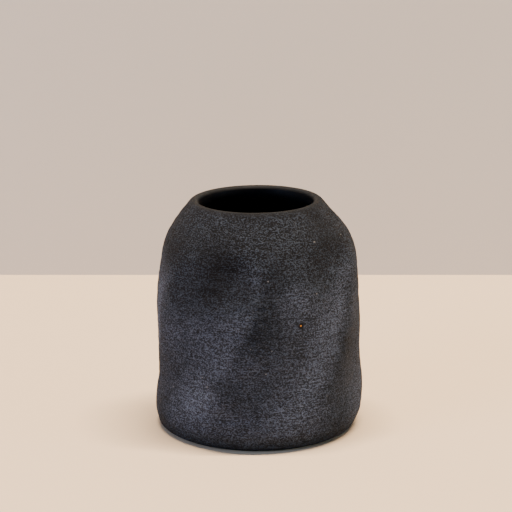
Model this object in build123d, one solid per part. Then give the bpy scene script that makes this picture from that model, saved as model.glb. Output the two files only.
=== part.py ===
from build123d import *
from math import acos, asin, cos, degrees, exp, hypot, radians, sin
import os

# A small hand-thrown stoneware vase, in millimetres. +Z is up, and the foot stands at Z = 0.
# The front looks towards -Y. Angles round the wall run from the front, positive towards +X.
# Three pieces: the fired clay, the sandy slip on its outside and the liner glaze inside.

# ---- driving dimensions -------------------------------------------------------------------
rim_height = 118.1          # crest of the lip above the table
wall = 5.0                  # finished wall, from glaze to slip
slip = 0.6                  # thickness of the sandy outer coat
glaze = 0.5                 # thickness of the liner glaze

foot_edge = 46.3            # outer edge of the ring that touches the table
foot_inner = 39.0           # inner edge of that ring
foot_recess = 1.2           # hollow under the base
recess_slope = 1.5          # width of the sloped edge of that hollow
heel_height = 4.0           # top of the rounded heel
slip_start = 1.2            # lower edge of the slip, above the table

# Outer wall, as (height, mean radius): heel, swell, waist, belly and shoulder.
wall_line = [
    (heel_height, 51.6), (8, 53.0), (14, 53.4), (30, 52.5), (54, 52.1), (72, 51.6),
    (86, 50.4), (94, 49.1), (100, 46.9), (106, 43.0), (112, 38.1),
]
# The pot wanders a little off its axis as it rises, as (height, shift along X).
lean_line = [(0, -0.9), (16, 0.3), (40, 0.2), (60, 0.0), (80, 0.1), (100, 0.0), (112, -1.3)]
rim_tilt = 0.5              # degrees, the rim rises towards +X
rim_tilt_start = 60.0       # height where that tilt begins

shoulder_top = 112.0        # the wall line ends here and the lip begins
shoulder_facing = 39.3      # degrees above the horizontal that the shoulder faces there
lip_crest = 31.3            # radius of the highest line of the lip
lip_outer_round = 3.9       # rounding of the lip, outer side
lip_inner_round = 2.2       # rounding of the lip, mouth side
slip_top_radius = 32.4      # the slip stops on the lip at this radius
glaze_top = 116.6           # upper edge of the liner glaze

throat_round = 4.0          # rounding from the mouth out into the belly
throat_height = 114.3       # middle of that rounding
throat_facing = 228.7       # degrees, where the rounding runs into the inside of the shoulder
belly_top = 103.0           # the inside follows the outer wall up to here
bowl_top = 12.0             # and down to here
floor_top = 6.5             # upper face of the glazed floor
floor_radius = 42.5         # flat part of that floor

# Six hollow flutes with soft crests between them climb the wall and twist towards +X as they rise.
flute_count = 6
flute_depth = 1.3
flute_level = 1.4           # keeps the mean radius of the wall where it is
crest_round = 0.25          # softens the crests; 0 would leave a sharp edge
flute_middle = 59.0
first_crest = -3.0          # degrees, at flute_middle
flute_twist = 0.42          # degrees per millimetre of height
flute_curl = 0.0035         # slows the twist towards the shoulder
flutes_from = (10.0, 28.0)  # the pressed forms grow in over these heights
flutes_to = (109.0, 90.0)   # and die out again over these

# Thumb presses as (angle, height, half width, half height, depth), inwards is negative.
presses = [
    (-14, 90, 9, 11, -2.4), (47, 95, 8, 9, -1.6), (29, 78, 6, 8, 0.9),
    (-27, 26, 9, 10, 0.8), (72, 42, 9, 14, -1.0),
    (-88, 69, 16, 12, 1.4), (-88, 98, 16, 8, 0.3), (-88, 27, 14, 11, -1.5),
    (90, 83, 14, 11, 0.6), (92, 55, 12, 9, 1.2),
    (150, 84, 12, 10, -2.0), (-140, 60, 10, 16, -1.4),
]
press_radius = 52.0         # turns an angle into a distance along the wall

# Where the curved faces are drawn through: points on each ring, heights of the rings on the
# wall, and how many spans each rounding gets.
points_per_ring = 48
wall_rings = [8, 12, 16, 21, 27, 33, 39, 45, 51, 57, 63, 69, 75, 80, 85, 89, 93, 97, 100, 103, 106, 109]
foot_spans, heel_spans = 3, 4
lip_spans, bare_lip_spans = 3, 5
throat_spans, bowl_spans = 3, 4
slope_reach = 0.5           # the slope of the wall is taken over this much each way


# ---- the wall as a formula ----------------------------------------------------------------
def along(line, height):
    """Value at a height on a smooth curve through a line's points."""
    last = len(line) - 1
    if height <= line[0][0]:
        return line[0][1]
    if height >= line[last][0]:
        return line[last][1]
    slopes = []
    for i in range(last + 1):
        before = line[max(i - 1, 0)]
        after = line[min(i + 1, last)]
        slopes.append((after[1] - before[1]) / (after[0] - before[0]))
    i = max(k for k in range(last) if line[k][0] <= height)
    span = line[i + 1][0] - line[i][0]
    u = (height - line[i][0]) / span
    rise = u * u * (3 - 2 * u)
    pull = u * (1 - u) * ((1 - u) * slopes[i] - u * slopes[i + 1]) * span
    return line[i][1] * (1 - rise) + line[i + 1][1] * rise + pull


def ramp(start, end, value):
    """Rises smoothly from 0 at the start to 1 at the end."""
    u = min(max((value - start) / (end - start), 0.0), 1.0)
    return u * u * (3 - 2 * u)


def pressed(angle, height):
    """How far the hand-pressed forms move the wall outwards."""
    above = height - flute_middle
    crest = first_crest + flute_twist * above - flute_curl * above * above
    swing = sin(flute_count * radians(angle - crest) / 2)
    depth = flute_depth * (flute_level - 2 * hypot(swing, crest_round))
    for press_angle, press_height, half_width, half_height, press_depth in presses:
        turn = (angle - press_angle + 180) % 360 - 180
        across = press_radius * radians(turn) / half_width
        up = (height - press_height) / half_height
        depth += press_depth * exp(-(across * across + up * up) / 2)
    return depth * ramp(*flutes_from, height) * ramp(*flutes_to, height)


def wall_radius(height, inset):
    """Mean radius of the surface that lies an inset inside the outer wall."""
    low = max(height - slope_reach, heel_height)
    high = min(height + slope_reach, shoulder_top)
    slope = (along(wall_line, high) - along(wall_line, low)) / (high - low)
    return along(wall_line, height) - inset * hypot(1, slope)


def ring_point(radius, height, angle):
    """Point on the pot at a radius, a height and an angle, with the flutes and presses in it."""
    tilt = radians(rim_tilt * ramp(rim_tilt_start, shoulder_top, height))
    reach = radius + pressed(angle, height)
    x = reach * sin(radians(angle))
    y = -reach * cos(radians(angle))
    return Vector(along(lean_line, height) + x * cos(tilt), y, height + x * sin(tilt))


def half_ring(radius, height, first):
    """Half of a closed curve round the pot, as one smooth edge."""
    step = 360 / points_per_ring
    count = points_per_ring // 2
    points = [ring_point(radius, height, first + step * i) for i in range(-1, count + 2)]
    start_pull = (points[2] - points[0]) / 2
    end_pull = (points[-1] - points[-3]) / 2
    return Edge.make_spline(
        points[1:-1], tangents=[start_pull, end_pull], parameters=list(range(count + 1)), scale=False
    )


def ring(radius, height):
    """One closed curve round the pot, in two halves that run on smoothly."""
    return Wire([half_ring(radius, height, first) for first in (0, 180)])


def arc(middle, radii, start, end, spans):
    """Points on a circle or ellipse as (radius, height), from one angle to another."""
    turns = [radians(start + (end - start) * i / spans) for i in range(spans + 1)]
    return [(middle[0] + radii[0] * cos(turn), middle[1] + radii[1] * sin(turn)) for turn in turns]


def skin(line):
    """Curved faces through the rings of a line, with its first and its last edge."""
    whole = Solid.make_loft([ring(radius, height) for radius, height in line])
    ends = whole.faces().filter_by(GeomType.PLANE).sort_by(Axis.Z)
    if line[0][1] > line[-1][1]:
        ends = ends[::-1]
    sides = whole.faces().filter_by(GeomType.PLANE, reverse=True)
    return sides, ends[0].outer_wire(), ends[1].outer_wire()


def strip(wire, other):
    """Narrow straight-sided faces between two edges."""
    return Solid.make_loft([wire, other], ruled=True).faces().filter_by(GeomType.PLANE, reverse=True)


def joined(faces):
    """Closed solid from the faces that bound it."""
    return Solid(Shell(faces)).fix()


# ---- the lines of the pot, as (radius, height) points -------------------------------------
def heel_line(inset, start, end, spans):
    """Rounded heel between two heights, an inset inside the finished surface."""
    radii = (wall_radius(heel_height, inset) - foot_edge, heel_height - inset)
    angles = [-degrees(asin((heel_height - height) / radii[1])) for height in (start, end)]
    return arc((foot_edge, heel_height), radii, *angles, spans)


def coat_line(inset):
    """Heel, wall and lip, from one edge of the slip to the other, an inset inside its face."""
    side = [(wall_radius(height, inset), height) for height in wall_rings + [shoulder_top]]
    rounding = lip_outer_round - inset
    edge_angle = degrees(acos((slip_top_radius - lip_crest) / rounding))
    middle = (lip_crest, rim_height - lip_outer_round)
    lip = arc(middle, (rounding, rounding), shoulder_facing, edge_angle, lip_spans)
    return heel_line(inset, slip_start, heel_height, heel_spans) + side + lip


def bare_lip_line():
    """The smooth lip, from the edge of the slip over the crest to the edge of the glaze."""
    edge_angle = degrees(acos((slip_top_radius - lip_crest) / lip_outer_round))
    outer_middle = (lip_crest, rim_height - lip_outer_round)
    outside = arc(outer_middle, (lip_outer_round, lip_outer_round), edge_angle, 90, 1)
    inner_middle = (lip_crest, rim_height - lip_inner_round)
    inner_radii = (lip_inner_round, lip_inner_round)
    return outside + arc(inner_middle, inner_radii, 90, glaze_angle(0), bare_lip_spans)[1:]


def glaze_angle(inset):
    """Where the edge of the glaze lies on the rounding of the lip, in degrees."""
    return 180 - degrees(asin((glaze_top - rim_height + lip_inner_round) / (lip_inner_round - inset)))


def hollow_line(inset):
    """Mouth, throat, belly, bowl and floor, from the glaze's edge down, an inset into the clay."""
    mouth_middle = (lip_crest, rim_height - lip_inner_round)
    mouth_round = lip_inner_round - inset
    mouth = arc(mouth_middle, (mouth_round, mouth_round), glaze_angle(inset), 180, 1)
    throat_middle = (lip_crest - lip_inner_round + throat_round, throat_height)
    turn_round = throat_round - inset
    turn = arc(throat_middle, (turn_round, turn_round), 180, throat_facing, throat_spans)
    heights = [height for height in wall_rings if bowl_top <= height <= belly_top]
    side = [(wall_radius(height, wall - inset), height) for height in heights]
    bowl_radii = (side[0][0] - floor_radius, bowl_top - floor_top + inset)
    bowl = arc((floor_radius, bowl_top), bowl_radii, 0, -90, bowl_spans)
    return mouth + turn + side[::-1] + bowl[1:]


# ---- the faces where the pieces meet ------------------------------------------------------
slip_faces, slip_low, slip_high = skin(coat_line(0))
clay_faces, clay_low, clay_high = skin(coat_line(slip))
slip_foot = Face(slip_low, [clay_low])
slip_rim = strip(clay_high, slip_high)
glass_faces, glass_high, glass_floor = skin(hollow_line(0))
bed_faces, bed_high, bed_floor = skin(hollow_line(glaze))
glaze_rim = Face(bed_high, [glass_high])


# ---- the pieces ---------------------------------------------------------------------------
def make_slip():
    """The sandy coat: it wraps the wall from above the foot to the top of the lip."""
    return joined([*slip_faces, *slip_rim, *clay_faces, slip_foot])


def make_glaze():
    """The liner: a glass skin over the floor and the inside wall, up to just under the lip."""
    return joined([*glass_faces, Face(glass_floor), *bed_faces, Face(bed_floor), glaze_rim])


def make_body():
    """The fired clay, with a bare lip, a bare foot and a shallow hollow under the base."""
    foot_faces, foot_low = skin(heel_line(0, 0, slip_start, foot_spans))[:2]
    lip_faces = skin(bare_lip_line())[0]
    recess_low = ring(foot_inner, 0)
    recess_high = ring(foot_inner - recess_slope, foot_recess)
    foot_ring = Face(foot_low, [recess_low])
    outside = [foot_ring, *foot_faces, slip_foot, *clay_faces, *slip_rim, *lip_faces]
    inside = [glaze_rim, *bed_faces, Face(bed_floor)]
    return joined(outside + inside + [*strip(recess_low, recess_high), Face(recess_high)])


# The origin is the middle of the footprint's box, on the table.
pieces = {
    "stoneware_body": make_body(),
    "sand_slip_coat": make_slip(),
    "liner_glaze": make_glaze(),
}
middle = pieces["sand_slip_coat"].bounding_box().center()

os.makedirs("parts", exist_ok=True)
for name, piece in pieces.items():
    export_step(Pos(-middle.X, -middle.Y, 0) * piece, f"parts/{name}.step")
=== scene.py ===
"""Looks of the stoneware vase: sandy slip, bare lip and foot, and glossy liner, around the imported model."""

import bpy
import numpy as np
from math import radians
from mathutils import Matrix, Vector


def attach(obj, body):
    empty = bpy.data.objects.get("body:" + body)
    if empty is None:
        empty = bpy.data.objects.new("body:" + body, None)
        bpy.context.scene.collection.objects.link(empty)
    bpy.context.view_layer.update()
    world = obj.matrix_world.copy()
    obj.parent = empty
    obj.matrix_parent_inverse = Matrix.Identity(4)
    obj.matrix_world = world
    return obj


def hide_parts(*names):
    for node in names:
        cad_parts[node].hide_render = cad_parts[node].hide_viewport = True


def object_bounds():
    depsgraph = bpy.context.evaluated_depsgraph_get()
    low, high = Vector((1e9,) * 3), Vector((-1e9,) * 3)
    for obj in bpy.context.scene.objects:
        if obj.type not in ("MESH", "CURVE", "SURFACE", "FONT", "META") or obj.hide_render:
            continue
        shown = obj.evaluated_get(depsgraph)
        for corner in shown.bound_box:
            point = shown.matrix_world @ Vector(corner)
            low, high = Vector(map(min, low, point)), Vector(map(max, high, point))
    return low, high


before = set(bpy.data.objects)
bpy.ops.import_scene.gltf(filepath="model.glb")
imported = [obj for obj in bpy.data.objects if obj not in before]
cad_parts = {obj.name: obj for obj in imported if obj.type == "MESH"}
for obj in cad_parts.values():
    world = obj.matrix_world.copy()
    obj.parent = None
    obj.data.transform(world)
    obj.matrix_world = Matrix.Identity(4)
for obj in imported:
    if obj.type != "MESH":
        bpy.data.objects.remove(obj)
cad_low, cad_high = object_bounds()

MM = 0.001

# ---- the pot's form in millimetres, as the CAD part has it --------------------------------
RIM_HEIGHT = 118.1
WALL, SLIP, GLAZE = 5.0, 0.6, 0.5
FOOT_EDGE, FOOT_INNER, FOOT_RECESS, RECESS_SLOPE = 46.3, 39.0, 1.2, 1.5
HEEL_HEIGHT, SLIP_START = 4.0, 1.2
WALL_LINE = np.array([
    (HEEL_HEIGHT, 51.6), (8, 53.0), (14, 53.4), (30, 52.5), (54, 52.1), (72, 51.6),
    (86, 50.4), (94, 49.1), (100, 46.9), (106, 43.0), (112, 38.1),
])
LEAN_LINE = np.array([
    (0, -0.9), (16, 0.3), (40, 0.2), (60, 0.0), (80, 0.1), (100, 0.0), (112, -1.3),
])
RIM_TILT, RIM_TILT_START = 0.5, 60.0
SHOULDER_TOP, SHOULDER_FACING = 112.0, 39.3
LIP_CREST, LIP_OUTER_ROUND, LIP_INNER_ROUND = 31.3, 3.9, 2.2
SLIP_TOP_RADIUS, GLAZE_TOP = 32.4, 116.6
THROAT_ROUND, THROAT_HEIGHT, THROAT_FACING = 4.0, 114.3, 228.7
BELLY_TOP, BOWL_TOP, FLOOR_TOP, FLOOR_RADIUS = 103.0, 12.0, 6.5, 42.5
FLUTE_COUNT, FLUTE_DEPTH, FLUTE_MIDDLE, FIRST_CREST = 6, 1.3, 59.0, -3.0
FLUTE_TWIST, FLUTE_CURL, CREST_ROUND, FLUTE_LEVEL = 0.42, 0.0035, 0.25, 1.4
FLUTES_FROM, FLUTES_TO = (10.0, 28.0), (109.0, 90.0)
PRESSES = [              # angle, height, half width, half height and depth of each thumb press
    (-14, 90, 9, 11, -2.4), (47, 95, 8, 9, -1.6), (29, 78, 6, 8, 0.9),
    (-27, 26, 9, 10, 0.8), (72, 42, 9, 14, -1.0),
    (-88, 69, 16, 12, 1.4), (-88, 98, 16, 8, 0.3), (-88, 27, 14, 11, -1.5),
    (90, 83, 14, 11, 0.6), (92, 55, 12, 9, 1.2),
    (150, 84, 12, 10, -2.0), (-140, 60, 10, 16, -1.4),
]
PRESS_RADIUS = 52.0     # turns an angle into a distance along the wall
SLOPE_REACH = 0.5       # the slope of the wall is taken over this much each way

# ---- mesh density -------------------------------------------------------------------------
AROUND = 480            # points round the pot
FINE_STEP = 0.8         # spacing of the rows that show, in millimetres
COARSE_STEP = 4.0       # spacing of the rows that are covered
LINER_STEP = 1.0        # spacing of the rows of the liner
LIP_STEP, HEEL_STEP, BASE_STEP = 0.25, 0.4, 1.5
FLOOR_RINGS = 26        # rings of the flat floor
FLOOR_MIDDLE = 2.0      # radius of the innermost, there and under the base; a cap closes it
FLOOR_RIM = 1.5         # the outermost lies this far inside the edge of the floor
SHARP_ANGLE = 50        # degrees; edges sharper than this stay sharp

# ---- relief, in millimetres ---------------------------------------------------------------
RELIEF_TOP = 0.14       # the sand never stands higher than this over its mean
SAND = (0.055, 0.75, 0.85, 11)      # height, blur up the wall and round it, and seed
SAND_RANGE = (-2.0, 2.6)            # its grains are cut off here, in units of their spread
COAT_LAYERS = [                     # the same as SAND: clumps, brush lines and uneven thickness
    (0.035, 1.6, 1.8, 12), (0.030, 0.9, 14.0, 13), (0.060, 6.0, 9.0, 14),
]
RING_LAYERS = [(0.10, 2.0, 90.0, 21), (0.03, 3.0, 5.0, 22)]     # the same, on the liner
FADE_AT_TOP, FADE_AT_FOOT = (0.4, 3.0), (0.0, 2.0)      # the sand dies out over these distances
FADE_OF_RINGS = (0, 8)              # rows of the liner over which its rings grow in

# ---- tone of the slip, and its painted light and shade --------------------------------------
SLIP_DARK = (0.0074, 0.0083, 0.0100)
# pale grains take the first colour in painted shade and the second in painted light
SLIP_PALE_IN_PAINTED_SHADE = (0.0455, 0.0590, 0.0815)
SLIP_PALE_IN_PAINTED_LIGHT = (0.0470, 0.0573, 0.0800)
LIP_COLOUR = (0.0042, 0.0050, 0.0060)
SPECK_COLOUR = (0.12, 0.12, 0.12)
OCHRE_COLOUR = (0.55, 0.22, 0.03)
OCHRE_FLECK = (24.2, 64.8, 0.5)                     # angle, height and radius
PALE_SPECKS = [(39, 104, 0.8), (-29, 33, 0.9)]      # the same
CRISP_GRAIN = (0.080, 0.100)        # metres up; the grain turns crisp between these heights
LIP_BLEND = (0.1152, 0.1176)        # and the slip takes on the lip's colour between these
FOOT_PAINTED_SHADE = 0.35        # painted shade on the bare foot and heel, darker than the lip
FLUTE_PAINTED_SHADING = 0.9        # painted light and shade: how much paler one side of a flute is than the other
PAINTED_SHADING_CONTRAST = 0.87    # power that evens out the painted light and shade
FLUTE_WANDER = 3.0      # degrees that the painted bands wander from the flutes
BAND_RISE, BAND_FALL = (0.02, 0.80), (0.82, 1.0)    # where in a flute its painted band pales and darkens
BAND_MEAN = 0.45        # keeps the mean painted shading of a flute near one
BANDS_FROM, BANDS_TO = (16, 46), (100, 78)          # the painted bands grow in and die out over these
PAINTED_SHADING_BY_HEIGHT = [        # painted light and shade by height: between two heights the slip goes from one paleness to another
    # painted light on the swell above the heel, painted shade on the heel and on the shoulder
    (12, 34, 1.35, 1.0), (1.2, 12, 0.3, 1.0), (84, 102, 1.0, 0.33),
]
PAINTED_SHADING_PATCHES = [        # painted light and shade in soft spots: angle, height and radius of a spot, and how pale its middle is
    (-24, 86, 28, 0.24), (-6, 79, 15, 0.50),                        # painted shade in the hollow at the upper left
    (40, 87, 22, 0.42), (54, 109, 20, 0.50), (10, 92, 13, 0.60),    # painted shade in the hollow at the upper right
    (20, 76, 14, 2.00), (61, 68, 20, 1.75), (40, 57, 15, 1.30),     # painted light on the crests right of the middle
    (-8, 98, 14, 1.50), (-62, 93, 22, 0.45),                        # painted light and painted shade on the shoulder
    (-70, 55, 27, 2.10), (66, 45, 42, 0.74),                        # painted light on the left flank, painted shade on the right flank
    (-10, 44, 18, 1.75), (5, 43, 20, 1.50), (30, 38, 15, 1.50),     # painted light on the lower middle
    (-35, 26, 20, 1.75), (-22, 35, 10, 0.55), (21, 20, 22, 1.40),   # painted light and painted shade on the swell over the heel
    (50, 12, 24, 0.46), (-70, 12, 20, 0.46),                        # painted shade on the heel
    (-90, 113, 22, 0.55), (90, 113, 22, 0.60),                      # painted shade beside the lip
]

# ---- colours of the clay and the liner ------------------------------------------------------
CLAY_DARK, CLAY_PALE = (0.0034, 0.0040, 0.0046), (0.0068, 0.0080, 0.0092)
LINER_DARK, LINER_PALE = (0.0008, 0.0008, 0.0011), (0.0018, 0.0018, 0.0023)
DEEP_LINER = (0.070, 0.098)         # metres up; the liner is paler below these heights
MATT_LINER = (0.108, 0.114)         # and matt above these

# ---- camera and surroundings, in metres -----------------------------------------------------
CAMERA_PITCH = 14.75                # degrees below the horizontal
CAMERA_PLACE = (-0.0013, -0.967, 0.3426)
CAMERA_LENS, SENSOR_WIDTH = 137.6, 36.0
FLOOR_FRONT, WALL_BACK, WALL_TOP, STAGE_HALF_WIDTH = -2.0, 0.285, 1.3, 2.5
FLOOR_COLOUR = (0.42, 0.335, 0.232)
WALL_COLOUR = (0.540, 0.484, 0.404)
STAGE_MOTTLE = 0.97                 # faint darker clouds on both
ROOM_COLOUR, ROOM_STRENGTH = (0.60, 0.72, 1.0, 1.0), 0.13

# ---- form ---------------------------------------------------------------------------------
def along(line, height):
    """Values at heights on a smooth curve through a line's points."""
    height = np.clip(height, line[0, 0], line[-1, 0])
    before = line[np.maximum(np.arange(len(line)) - 1, 0)]
    after = line[np.minimum(np.arange(len(line)) + 1, len(line) - 1)]
    slopes = (after[:, 1] - before[:, 1]) / (after[:, 0] - before[:, 0])
    i = np.clip(np.searchsorted(line[:, 0], height, side="right") - 1, 0, len(line) - 2)
    span = line[i + 1, 0] - line[i, 0]
    u = (height - line[i, 0]) / span
    rise = u * u * (3 - 2 * u)
    pull = u * (1 - u) * ((1 - u) * slopes[i] - u * slopes[i + 1]) * span
    return line[i, 1] * (1 - rise) + line[i + 1, 1] * rise + pull


def ramp(start, end, value):
    """Rises smoothly from 0 at the start to 1 at the end."""
    u = np.clip((value - start) / (end - start), 0.0, 1.0)
    return u * u * (3 - 2 * u)


def pressed(angle, height):
    """How far the flutes and thumb presses move the wall outwards."""
    above = height - FLUTE_MIDDLE
    crest = FIRST_CREST + FLUTE_TWIST * above - FLUTE_CURL * above * above
    swing = np.sin(FLUTE_COUNT * np.radians(angle - crest) / 2)
    depth = FLUTE_DEPTH * (FLUTE_LEVEL - 2 * np.sqrt(swing * swing + CREST_ROUND * CREST_ROUND))
    for press_angle, press_height, half_width, half_height, press_depth in PRESSES:
        turn = (angle - press_angle + 180) % 360 - 180
        across = PRESS_RADIUS * np.radians(turn) / half_width
        up = (height - press_height) / half_height
        depth = depth + press_depth * np.exp(-(across * across + up * up) / 2)
    return depth * ramp(*FLUTES_FROM, height) * ramp(*FLUTES_TO, height)


def wall_radius(height, inset):
    """Mean radius of the surface that lies an inset inside the outer wall."""
    low = np.maximum(height - SLOPE_REACH, HEEL_HEIGHT)
    high = np.minimum(height + SLOPE_REACH, SHOULDER_TOP)
    slope = (along(WALL_LINE, high) - along(WALL_LINE, low)) / (high - low)
    return along(WALL_LINE, height) - inset * np.hypot(1, slope)


def arc(middle, radii, start, end, steps=24):
    """Points on a circle or ellipse as (radius, height), from one angle to another."""
    turn = np.radians(np.linspace(start, end, steps + 1))
    return np.stack([middle[0] + radii[0] * np.cos(turn), middle[1] + radii[1] * np.sin(turn)], 1)


def side(low, high, inset):
    """Points on the wall between two heights, an inset inside it."""
    height = np.linspace(low, high, 200)
    return np.stack([wall_radius(height, inset), height], 1)


def heel_line(inset, start, end):
    """Rounded heel between two heights, an inset inside the finished surface."""
    radii = (wall_radius(HEEL_HEIGHT, inset) - FOOT_EDGE, HEEL_HEIGHT - inset)
    angles = [-np.degrees(np.arcsin((HEEL_HEIGHT - height) / radii[1])) for height in (start, end)]
    return arc((FOOT_EDGE, HEEL_HEIGHT), radii, *angles)


def coat_line(inset):
    """Heel, wall and lip, from one edge of the slip to the other."""
    rounding = LIP_OUTER_ROUND - inset
    edge_angle = np.degrees(np.arccos((SLIP_TOP_RADIUS - LIP_CREST) / rounding))
    middle = (LIP_CREST, RIM_HEIGHT - LIP_OUTER_ROUND)
    lip = arc(middle, (rounding, rounding), SHOULDER_FACING, edge_angle)
    wall = side(HEEL_HEIGHT, SHOULDER_TOP, inset)
    return np.concatenate([heel_line(inset, SLIP_START, HEEL_HEIGHT)[:-1], wall, lip])


def glaze_angle(inset):
    """Where the edge of the glaze lies on the rounding of the lip, in degrees."""
    above = GLAZE_TOP - RIM_HEIGHT + LIP_INNER_ROUND
    return 180 - np.degrees(np.arcsin(above / (LIP_INNER_ROUND - inset)))


def bare_lip_line():
    """The smooth lip, from the edge of the slip over the crest to the edge of the glaze."""
    edge_angle = np.degrees(np.arccos((SLIP_TOP_RADIUS - LIP_CREST) / LIP_OUTER_ROUND))
    outer = (LIP_CREST, RIM_HEIGHT - LIP_OUTER_ROUND)
    inner = (LIP_CREST, RIM_HEIGHT - LIP_INNER_ROUND)
    outside = arc(outer, (LIP_OUTER_ROUND, LIP_OUTER_ROUND), edge_angle, 90, steps=6)
    inside = arc(inner, (LIP_INNER_ROUND, LIP_INNER_ROUND), 90, glaze_angle(0))
    return np.concatenate([outside[:-1], inside])


def hollow_line(inset):
    """Mouth, throat, belly, bowl and floor's edge, from the edge of the glaze down."""
    mouth_round, throat = LIP_INNER_ROUND - inset, THROAT_ROUND - inset
    mouth_middle = (LIP_CREST, RIM_HEIGHT - LIP_INNER_ROUND)
    mouth = arc(mouth_middle, (mouth_round, mouth_round), glaze_angle(inset), 180, steps=4)
    throat_middle = (LIP_CREST - LIP_INNER_ROUND + THROAT_ROUND, THROAT_HEIGHT)
    turn = arc(throat_middle, (throat, throat), 180, THROAT_FACING, steps=12)
    belly = side(BOWL_TOP, BELLY_TOP, WALL - inset)[::-1]
    bowl_radii = (belly[-1, 0] - FLOOR_RADIUS, BOWL_TOP - FLOOR_TOP + inset)
    bowl = arc((FLOOR_RADIUS, BOWL_TOP), bowl_radii, 0, -90)
    return np.concatenate([mouth, turn[1:], belly, bowl[1:]])


def spaced(line, step):
    """The same line with points an even step apart."""
    run = np.concatenate([[0], np.cumsum(np.hypot(*np.diff(line, axis=0).T))])
    stops = np.linspace(0, run[-1], max(int(round(run[-1] / step)), 1) + 1)
    return np.stack([np.interp(stops, run, line[:, 0]), np.interp(stops, run, line[:, 1])], 1)


def wrapped(line):
    """Grid of points round the pot: rows follow the line, columns go round."""
    angle = np.arange(AROUND) * 360 / AROUND
    radius, height = line[:, :1], line[:, 1:]
    tilt = np.radians(RIM_TILT * ramp(RIM_TILT_START, SHOULDER_TOP, height))
    reach = radius + pressed(angle, height)
    x = reach * np.sin(np.radians(angle))
    y = -reach * np.cos(np.radians(angle))
    return np.stack([along(LEAN_LINE, height) + x * np.cos(tilt), y, height + x * np.sin(tilt)], 2)


def outward(grid):
    """Unit normals of a grid, outwards where its rows run upwards."""
    up = np.gradient(grid, axis=0)
    around = np.roll(grid, -1, axis=1) - np.roll(grid, 1, axis=1)
    normal = np.cross(around, up)
    return normal / np.linalg.norm(normal, axis=2, keepdims=True)


# ---- relief -------------------------------------------------------------------------------
def blurred_noise(rows, row_blur, column_blur, seed):
    """Smooth random relief of unit strength, without a seam round the pot."""
    noise = np.random.default_rng(seed).standard_normal((rows, AROUND))
    spectrum = np.fft.fft2(noise)
    row_wave = np.fft.fftfreq(rows)[:, None]
    column_wave = np.fft.fftfreq(AROUND)[None, :]
    keep = np.exp(-2 * np.pi ** 2 * ((row_wave * row_blur) ** 2 + (column_wave * column_blur) ** 2))
    soft = np.fft.ifft2(spectrum * keep).real
    return soft / soft.std()


def layer(rows, strength, row_blur, column_blur, seed):
    """One layer of relief in millimetres."""
    return strength * blurred_noise(rows, row_blur, column_blur, seed)


def slip_relief(line):
    """Relief of the sandy coat in millimetres: sand, brush lines and uneven thickness."""
    rows = len(line)
    strength, *blurs_and_seed = SAND
    relief = strength * np.clip(blurred_noise(rows, *blurs_and_seed), *SAND_RANGE)
    for values in COAT_LAYERS:
        relief += layer(rows, *values)
    to_top = np.linspace(1, 0, rows)[:, None] * rows * FINE_STEP
    to_foot = np.linspace(0, 1, rows)[:, None] * rows * FINE_STEP
    relief = np.minimum(relief, RELIEF_TOP * np.tanh(relief / RELIEF_TOP))
    return (relief - RELIEF_TOP) * ramp(*FADE_AT_TOP, to_top) * ramp(*FADE_AT_FOOT, to_foot)


def slip_painted_shading(line):
    """Painted light and shade of the slip at each point: along the flutes, by height and in soft patches."""
    rows, height = len(line), line[:, 1:]
    angle = np.arange(AROUND) * 360 / AROUND
    above = height - FLUTE_MIDDLE
    crest = FIRST_CREST + FLUTE_TWIST * above - FLUTE_CURL * above * above
    wander = FLUTE_WANDER * blurred_noise(rows, 10.0, 12.0, 31)
    phase = (angle - crest + wander) / 360 * FLUTE_COUNT % 1
    across = ramp(*BAND_RISE, phase) - ramp(*BAND_FALL, phase) - BAND_MEAN
    within = ramp(*BANDS_FROM, height) * ramp(*BANDS_TO, height)
    tone = 1 + FLUTE_PAINTED_SHADING * across * within
    for low, high, below, over in PAINTED_SHADING_BY_HEIGHT:
        tone = tone * (below + (over - below) * ramp(low, high, height))
    for patch_angle, patch_height, radius, strength in PAINTED_SHADING_PATCHES:
        turn = (angle - patch_angle + 180) % 360 - 180
        away = np.hypot(PRESS_RADIUS * np.radians(turn), height - patch_height)
        tone = tone * (1 + (strength - 1) * ramp(radius, 0, away))
    return tone ** PAINTED_SHADING_CONTRAST


# ---- meshes -------------------------------------------------------------------------------
def faces_between(rows):
    """Quads between neighbouring rows of a grid."""
    row = np.arange(rows - 1)[:, None]
    column = np.arange(AROUND)[None, :]
    following = (column + 1) % AROUND
    corners = [row * AROUND + column, row * AROUND + following]
    corners += [(row + 1) * AROUND + following, (row + 1) * AROUND + column]
    return np.stack(corners, 2).reshape(-1, 4)


def closed_mesh(name, grids, loop):
    """One closed mesh from grids stacked along a line that is a loop or ends in two caps."""
    points = np.concatenate(grids).reshape(-1, 3)
    rows = len(points) // AROUND
    quads = faces_between(rows).tolist()
    if loop:
        last, first = (rows - 1) * AROUND, 0
        for i in range(AROUND):
            j = (i + 1) % AROUND
            quads.append([last + i, last + j, first + j, first + i])
    else:
        quads.append(list(range(AROUND))[::-1])
        quads.append([(rows - 1) * AROUND + i for i in range(AROUND)])
    mesh = bpy.data.meshes.new(name)
    mesh.from_pydata((points * MM + to_frame).tolist(), [], quads)
    mesh.validate()
    mesh.shade_smooth()
    mesh.set_sharp_from_angle(angle=radians(SHARP_ANGLE))
    piece = bpy.data.objects.new(name, mesh)
    bpy.context.collection.objects.link(piece)
    return piece


def footprint_middle():
    """Middle of the coat's box in the form's own axes, which is where the CAD model's origin lies."""
    grid = wrapped(spaced(coat_line(0), FINE_STEP))
    return (grid.reshape(-1, 3).min(0) + grid.reshape(-1, 3).max(0)) / 2


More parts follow.
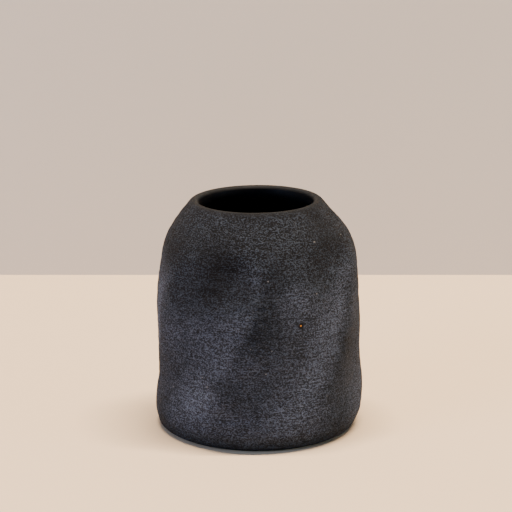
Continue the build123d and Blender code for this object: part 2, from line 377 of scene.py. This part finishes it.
def on_wall(angle, height):
    """Place of a spot on the outer wall, in metres in the frame."""
    grid = wrapped(np.array([[along(WALL_LINE, height), height]]))
    return (grid[0, round(angle % 360 * AROUND / 360) % AROUND] * MM + to_frame).tolist()


def make_slip():
    """The sandy coat, a closed skin round the wall."""
    line = spaced(coat_line(0), FINE_STEP)
    outside = wrapped(line)
    outside = outside + outward(outside) * slip_relief(line)[:, :, None]
    inside = wrapped(spaced(coat_line(SLIP), COARSE_STEP))[::-1]
    piece = closed_mesh("sandy_slip", [outside, inside], loop=True)
    add_painted_shading(piece, [slip_painted_shading(line), np.ones(inside.shape[:2])])
    return piece


def make_glaze():
    """The glossy liner, a closed skin over the inside, with faint throwing rings."""
    line = spaced(hollow_line(0), LINER_STEP)
    shown = wrapped(line)
    rows = len(line)
    rings = sum(layer(rows, *values) for values in RING_LAYERS)
    fade = ramp(*FADE_OF_RINGS, np.arange(rows))[:, None]
    shown = shown + outward(shown) * (rings * fade)[:, :, None]
    hidden = wrapped(spaced(hollow_line(GLAZE), COARSE_STEP))[::-1]
    grids = [floor_disc(FLOOR_TOP - GLAZE), hidden, shown, floor_disc(FLOOR_TOP)[::-1]]
    return closed_mesh("glossy_liner", grids, loop=False)


def floor_disc(height):
    """Rings of a flat floor from near its middle outwards, at a height."""
    radius = np.linspace(FLOOR_MIDDLE, FLOOR_RADIUS - FLOOR_RIM, FLOOR_RINGS)
    return wrapped(np.stack([radius, np.full(FLOOR_RINGS, height)], 1))


def make_body():
    """The fired clay: bare foot and lip, and the covered wall between them."""
    under = np.array([(FLOOR_MIDDLE, FOOT_RECESS), (FOOT_INNER - RECESS_SLOPE, FOOT_RECESS)])
    foot = np.array([(FOOT_INNER, 0.0), (FOOT_EDGE, 0.0)])
    lip = wrapped(spaced(bare_lip_line(), LIP_STEP))
    grids = [
        wrapped(spaced(under, BASE_STEP)),
        wrapped(spaced(foot, FINE_STEP)),
        wrapped(spaced(heel_line(0, 0, SLIP_START), HEEL_STEP))[1:],
        wrapped(spaced(coat_line(SLIP), COARSE_STEP)),
        lip,
        wrapped(spaced(hollow_line(GLAZE), COARSE_STEP)),
        floor_disc(FLOOR_TOP - GLAZE)[::-1],
    ]
    piece = closed_mesh("clay_body", grids, loop=False)
    # The lip's tone is painted light and shade across its rounding: dim beside the slip, a painted highlight
    # at its crest and painted shade beside the glaze.
    across = np.linspace(0, 1, len(lip))[:, None]
    lip_painted_shading = (0.55 + 0.45 * ramp(0.1, 0.5, across)) * (1 - 0.75 * ramp(0.62, 1.0, across))
    painted_shadings = []
    for grid in grids:
        tone = lip_painted_shading if grid is lip else FOOT_PAINTED_SHADE
        painted_shadings.append(np.broadcast_to(tone, grid.shape[:2]))
    add_painted_shading(piece, painted_shadings)
    return piece


def add_painted_shading(piece, painted_shadings):
    """Stores the painted light and shade at every point, for the material to read."""
    tone = np.concatenate([t.ravel() for t in painted_shadings])
    piece.data.attributes.new("tone", "FLOAT", "POINT").data.foreach_set("value", tone)


# ---- materials ----------------------------------------------------------------------------
class Recipe:
    """A node material with short calls for the nodes it needs."""

    def __init__(self, name):
        self.material = bpy.data.materials.new(name)
        self.material.use_nodes = True
        self.tree = self.material.node_tree
        self.shader = self.tree.nodes["Principled BSDF"]
        self.place = self.tree.nodes.new("ShaderNodeTexCoord").outputs["Object"]

    def node(self, kind, settings=None, **sockets):
        made = self.tree.nodes.new(kind)
        for key, value in (settings or {}).items():
            setattr(made, key, value)
        for key, value in sockets.items():
            self.plug(value, made.inputs[key.replace("_", " ")])
        return made

    def plug(self, value, socket):
        if isinstance(value, bpy.types.NodeSocket):
            self.tree.links.new(value, socket)
        else:
            socket.default_value = value

    def stretched(self, scale):
        return self.node("ShaderNodeMapping", Vector=self.place, Scale=scale).outputs["Vector"]

    def noise(self, scale, detail=2.0, roughness=0.5, place=None):
        settings = {"Vector": place or self.place, "Scale": scale, "Detail": detail, "Roughness": roughness}
        return self.node("ShaderNodeTexNoise", **settings).outputs["Fac"]

    def cells(self, scale):
        """Random value for each grain of sand."""
        made = self.node("ShaderNodeTexVoronoi", Vector=self.place, Scale=scale)
        return self.node("ShaderNodeSeparateColor", Color=made.outputs["Color"]).outputs["Red"]

    def between(self, value, low, high, out_low=0.0, out_high=1.0):
        made = self.node("ShaderNodeMapRange", {"interpolation_type": "SMOOTHSTEP"}, Value=value)
        limits = {"From Min": low, "From Max": high, "To Min": out_low, "To Max": out_high}
        for key, number in limits.items():
            made.inputs[key].default_value = number
        return made.outputs["Result"]

    def math(self, operation, *values):
        made = self.node("ShaderNodeMath", {"operation": operation})
        for value, socket in zip(values, made.inputs):
            self.plug(value, socket)
        return made.outputs["Value"]

    def scaled(self, colour, level):
        """A colour times a number."""
        made = self.node("ShaderNodeVectorMath", {"operation": "SCALE"}, Scale=level)
        self.plug(colour, made.inputs[0])
        return made.outputs[0]

    def away_from(self, angle, height):
        """Distance from a spot on the wall, in metres."""
        made = self.node("ShaderNodeVectorMath", {"operation": "DISTANCE"})
        self.plug(self.place, made.inputs[0])
        made.inputs[1].default_value = on_wall(angle, height)
        return made.outputs["Value"]

    def patch(self, angle, height, radius, inside, outside):
        """Goes smoothly from one number at a spot on the wall to another at a radius from it."""
        return self.between(self.away_from(angle, height), 0.0, radius * MM, inside, outside)

    def dot(self, angle, height, radius):
        """One within a radius of a spot on the wall, and none just beyond it."""
        return self.between(self.away_from(angle, height), 0.85 * radius * MM, 1.15 * radius * MM, 1.0, 0.0)

    def specks(self, scale, radius, share):
        """One on sparse round specks of a radius in millimetres, and none elsewhere."""
        made = self.node("ShaderNodeTexVoronoi", Vector=self.place, Scale=scale)
        reach = radius * MM * scale
        near = self.between(made.outputs["Distance"], 0.7 * reach, reach, 1.0, 0.0)
        drawn = self.node("ShaderNodeSeparateColor", Color=made.outputs["Color"]).outputs["Green"]
        return self.math("MULTIPLY", near, self.math("GREATER_THAN", drawn, share))

    def mixed(self, amount, first, second):
        made = self.node("ShaderNodeMix", {"data_type": "RGBA"})
        self.plug(amount, made.inputs["Factor"])
        for socket, value in ((made.inputs[6], first), (made.inputs[7], second)):
            self.plug(value if isinstance(value, bpy.types.NodeSocket) else (*value, 1.0), socket)
        return made.outputs[2]

    def height(self):
        return self.node("ShaderNodeSeparateXYZ", Vector=self.place).outputs["Z"]

    def bumped(self, relief, distance, strength):
        made = self.node("ShaderNodeBump", Height=relief, Distance=distance, Strength=strength)
        return made.outputs["Normal"]

    def open_behind(self):
        """Makes the surface clear from behind, so that a view from there still shows the pot."""
        clear = self.node("ShaderNodeBsdfTransparent").outputs["BSDF"]
        behind = self.node("ShaderNodeNewGeometry").outputs["Backfacing"]
        either = self.node("ShaderNodeMixShader", Fac=behind)
        self.plug(self.shader.outputs["BSDF"], either.inputs[1])
        self.plug(clear, either.inputs[2])
        self.plug(either.outputs["Shader"], self.tree.nodes["Material Output"].inputs["Surface"])

    def finish(self, colour, rough, normal, **fixed):
        self.plug(colour, self.shader.inputs["Base Color"])
        self.plug(rough, self.shader.inputs["Roughness"])
        self.plug(normal, self.shader.inputs["Normal"])
        for key, value in fixed.items():
            self.shader.inputs[key.replace("_", " ")].default_value = value
        return self.material


def slip_material():
    """Matte anthracite slip full of fine sand, brushed round the pot, its colour scaled by painted light and
    shade.
    """
    m = Recipe("sandy slip")
    sand = m.cells(1500)
    grain = m.noise(1.0, 2.0, 0.75, m.stretched((1150, 1150, 1800)))
    brushed = m.noise(1.0, 3.0, 0.6, m.stretched((130, 130, 1300)))
    clouds = m.noise(60, 3.0, 0.6)
    grains = m.math("MULTIPLY", m.between(grain, 0.42, 0.66), 0.56)
    tone = m.math("ADD", grains, m.math("MULTIPLY", sand, 0.26))
    tone = m.math("ADD", tone, m.math("MULTIPLY", m.between(brushed, 0.38, 0.62), 0.18))
    tone = m.math("ADD", tone, m.math("MULTIPLY", m.between(clouds, 0.38, 0.62), 0.05))
    # the tone attribute is painted light and shade: it scales the colour and moves the pale grains from their
    # shaded tint to their lit tint
    level = m.node("ShaderNodeAttribute", {"attribute_name": "tone"}).outputs["Fac"]
    pale = m.mixed(m.between(level, 0.6, 1.3), SLIP_PALE_IN_PAINTED_SHADE, SLIP_PALE_IN_PAINTED_LIGHT)
    soft, crisp = m.between(tone, 0.17, 0.88), m.between(tone, 0.45, 0.58)
    share = m.node("ShaderNodeMix", Factor=m.between(m.height(), *CRISP_GRAIN))
    m.plug(soft, share.inputs["A"])
    m.plug(crisp, share.inputs["B"])
    colour = m.mixed(share.outputs[0], SLIP_DARK, pale)
    colour = m.scaled(colour, level)
    colour = m.mixed(m.between(m.height(), *LIP_BLEND, 0.0, 0.60), colour, LIP_COLOUR)
    colour = m.mixed(m.specks(120, 0.40, 0.6), colour, SPECK_COLOUR)
    for angle, high, radius in PALE_SPECKS:
        colour = m.mixed(m.patch(angle, high, radius, 0.7, 0.0), colour, SPECK_COLOUR)
    angle, high, radius = OCHRE_FLECK
    colour = m.mixed(m.dot(angle, high, 3.0 * radius), colour, SLIP_DARK)
    colour = m.mixed(m.dot(angle, high, radius), colour, OCHRE_COLOUR)
    relief = m.math("ADD", grain, m.math("MULTIPLY", brushed, 0.4))
    relief = m.math("ADD", relief, m.math("MULTIPLY", sand, 0.3))
    normal = m.bumped(relief, 0.0006, 1.0)
    rough = m.between(grain, 0.3, 0.7, 0.98, 0.84)
    return m.finish(colour, rough, normal, Specular_IOR_Level=0.1)


def clay_material():
    """Smooth sponged dark clay on the lip and foot."""
    m = Recipe("bare dark clay")
    soft = m.noise(260, 3.0, 0.55)
    fine = m.noise(1800, 2.0, 0.5)
    sponged = m.noise(1.0, 2.0, 0.5, m.stretched((160, 160, 900)))
    tone = m.math("ADD", m.math("MULTIPLY", soft, 0.6), m.math("MULTIPLY", sponged, 0.4))
    colour = m.mixed(m.between(tone, 0.35, 0.68), CLAY_DARK, CLAY_PALE)
    # the tone attribute holds painted shade on the foot and painted light and shade across the lip
    colour = m.scaled(colour, m.node("ShaderNodeAttribute", {"attribute_name": "tone"}).outputs["Fac"])
    relief = m.math("ADD", m.math("MULTIPLY", soft, 0.6), m.math("MULTIPLY", fine, 0.4))
    rough = m.between(fine, 0.3, 0.7, 0.80, 0.62)
    return m.finish(colour, rough, m.bumped(relief, 0.00025, 0.5), Specular_IOR_Level=0.08)


def liner_material():
    """Black glossy liner glaze with a faint orange-peel surface."""
    m = Recipe("black liner glaze")
    peel = m.noise(420, 2.0, 0.5)
    pool = m.noise(60, 2.0, 0.5)
    colour = m.mixed(m.between(pool, 0.35, 0.7), LINER_DARK, LINER_PALE)
    colour = m.scaled(colour, m.between(m.height(), *DEEP_LINER, 6.0, 1.0))
    gloss = m.between(pool, 0.3, 0.7, 0.10, 0.22)
    rough = m.math("ADD", gloss, m.between(m.height(), *MATT_LINER, 0.0, 0.35))
    return m.finish(colour, rough, m.bumped(peel, 0.0003, 0.3), Specular_IOR_Level=0.06)


def stage_material(name, colour):
    """Plain pale surface for the floor and the backdrop, clear from behind."""
    m = Recipe(name)
    faint = m.noise(9, 2.0, 0.5)
    tint = m.mixed(faint, tuple(STAGE_MOTTLE * c for c in colour), colour)
    m.open_behind()
    return m.finish(tint, 0.85, m.bumped(faint, 0.0005, 0.1), Specular_IOR_Level=0.2)


# ---- scene --------------------------------------------------------------------------------
def stage_sheet(name, points, quads, colour):
    """A plain sheet for the floor or the backdrop."""
    mesh = bpy.data.meshes.new(name)
    mesh.from_pydata(points, [], quads)
    sheet = bpy.data.objects.new(name, mesh)
    bpy.context.collection.objects.link(sheet)
    mesh.materials.append(stage_material(name, colour))


def make_stage():
    """A pale floor with a backdrop behind the pot and on both sides of it."""
    plan = [(-STAGE_HALF_WIDTH, FLOOR_FRONT), (-STAGE_HALF_WIDTH, WALL_BACK)]
    plan += [(-x, y) for x, y in plan[::-1]]
    stage_sheet("pale floor", [(x, y, 0.0) for x, y in plan], [(0, 3, 2, 1)], FLOOR_COLOUR)
    corners = [(x, y, z) for x, y in plan for z in (0.0, WALL_TOP)]
    walls = [(2 * i, 2 * i + 2, 2 * i + 3, 2 * i + 1) for i in range(len(plan) - 1)]
    stage_sheet("backdrop", corners, walls, WALL_COLOUR)


def make_light(name, place, size, power, colour, target=None):
    """A soft rectangular light that faces its target, or straight down."""
    data = bpy.data.lights.new(name, "AREA")
    data.shape = "RECTANGLE"
    data.size, data.size_y = size
    data.energy, data.color = power, colour
    light = bpy.data.objects.new(name, data)
    light.location = place
    if target is not None:
        direction = Vector([t - p for t, p in zip(target, place)])
        light.rotation_euler = direction.to_track_quat("-Z", "Y").to_euler()
    bpy.context.collection.objects.link(light)


def make_lights():
    """Cool windows at the left and the right, and a long warm ceiling light that runs across."""
    middle = (0, 0, (cad_low.z + cad_high.z) / 2)
    make_light("left window", (-0.95, -0.7, 0.5), (0.6, 0.6), 16.5, (0.48, 0.64, 1.0), middle)
    make_light("right window", (0.95, -0.35, 0.2), (0.45, 0.45), 7, (0.46, 0.72, 1.0), middle)
    make_light("ceiling light", (0.35, 0.05, 3.0), (2.2, 0.08), 530, (1.0, 0.79, 0.60))
    world = bpy.data.worlds.new("room light")
    world.use_nodes = True
    room = world.node_tree.nodes["Background"].inputs
    room["Color"].default_value = ROOM_COLOUR
    room["Strength"].default_value = ROOM_STRENGTH
    bpy.context.scene.world = world


def make_camera():
    """The camera looks down on the pot a little, from in front."""
    data = bpy.data.cameras.new("camera")
    data.lens, data.sensor_width = CAMERA_LENS, SENSOR_WIDTH
    camera = bpy.data.objects.new("camera", data)
    camera.location = (to_frame[0] + CAMERA_PLACE[0], *CAMERA_PLACE[1:])
    camera.rotation_euler = (radians(90 - CAMERA_PITCH), 0, 0)
    bpy.context.collection.objects.link(camera)
    bpy.context.scene.camera = camera


def place_piece(piece, material, node):
    """Gives a piece its material, hangs it under the root, and hides the CAD node that it stands in for."""
    piece.data.materials.append(material)
    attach(piece, "root")
    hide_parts(node)


middle = footprint_middle()
to_frame = np.array([-middle[0] * MM, -middle[1] * MM, 0.0])
make_camera()
make_lights()
make_stage()
place_piece(make_slip(), slip_material(), "sand_slip_coat")
place_piece(make_glaze(), liner_material(), "liner_glaze")
place_piece(make_body(), clay_material(), "stoneware_body")
